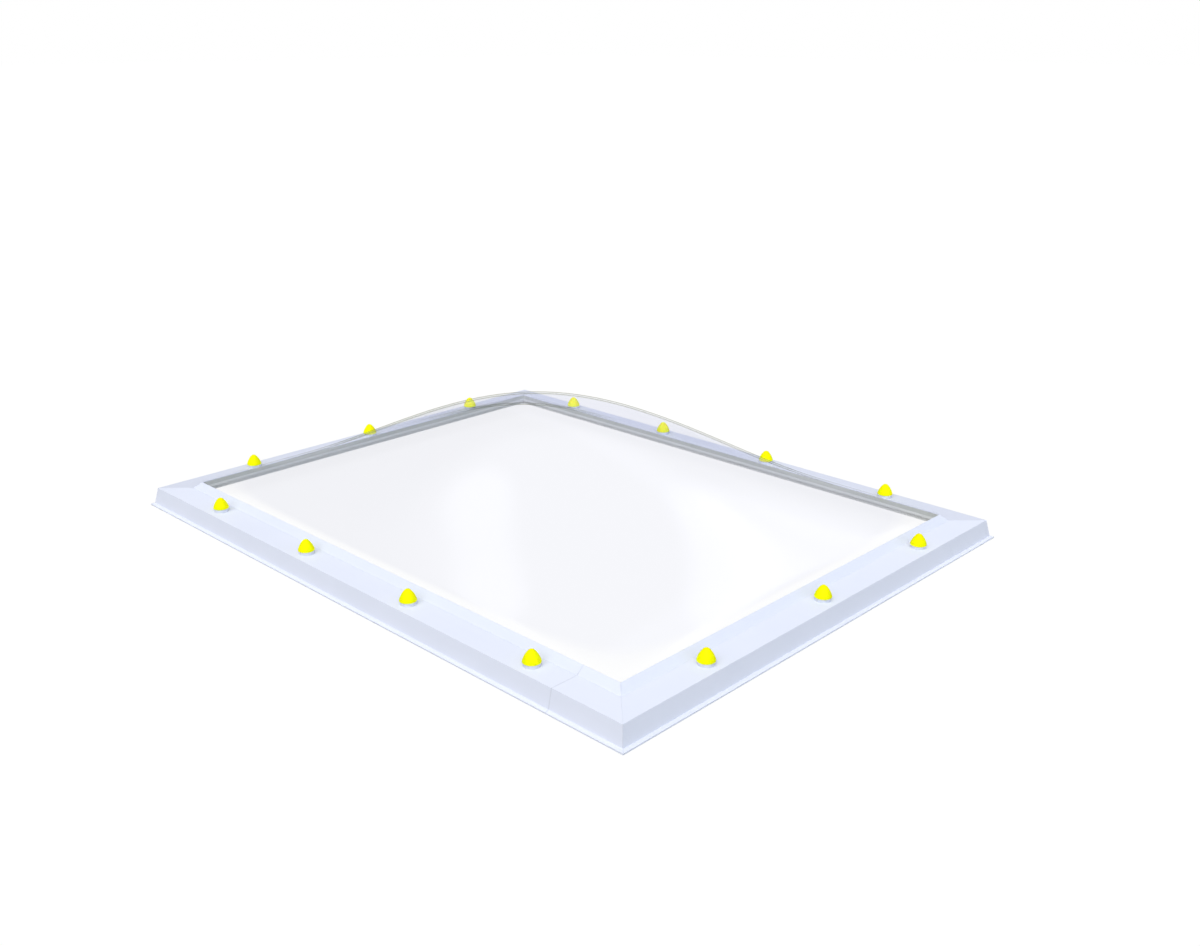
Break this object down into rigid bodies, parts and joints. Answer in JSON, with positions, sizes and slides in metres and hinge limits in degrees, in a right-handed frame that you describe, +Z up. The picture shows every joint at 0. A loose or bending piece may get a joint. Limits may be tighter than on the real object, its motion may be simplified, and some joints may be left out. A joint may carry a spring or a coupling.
{
  "type": "roof skylight",
  "caption": "Fixed dome rooflight: a mitred white plastic rail frame with a clear blown dome, grey inner gaskets and capped screw fixings, for screwing down on a roof kerb.",
  "frame": {"origin": "middle of the footprint, on the plane of the frame's lowest edge", "axes": "+X along the long sides, +Y along the short sides, +Z up towards the dome's crown"},
  "size_m": [1.4, 1.1, 0.2556],
  "materials": {
    "white_pvc": "satin white extrusion",
    "clear_acrylic": "clear blown sheet",
    "grey_gasket": "matt grey extrusion",
    "white_foam": "white closed-cell foam strip",
    "yellow_cap": "moulded yellow cap",
    "stainless_screw": "bright stainless",
    "white_rubber": "matt white rubber"
  },
  "bodies": {
    "root": {"back_gasket": "grey_gasket", "back_kerb_seal": "white_foam", "back_rail": "white_pvc", "back_screw_caps": "yellow_cap", "dome": "clear_acrylic", "fixing_screws": "stainless_screw", "front_gasket": "grey_gasket", "front_kerb_seal": "white_foam", "front_rail_long": "white_pvc", "front_rail_short": "white_pvc", "front_screw_caps": "yellow_cap", "left_gasket": "grey_gasket", "left_kerb_seal": "white_foam", "left_rail": "white_pvc", "left_screw_caps": "yellow_cap", "right_gasket": "grey_gasket", "right_kerb_seal": "white_foam", "right_rail": "white_pvc", "right_screw_caps": "yellow_cap", "sealing_washers": "white_rubber"}
  },
  "joints": []
}
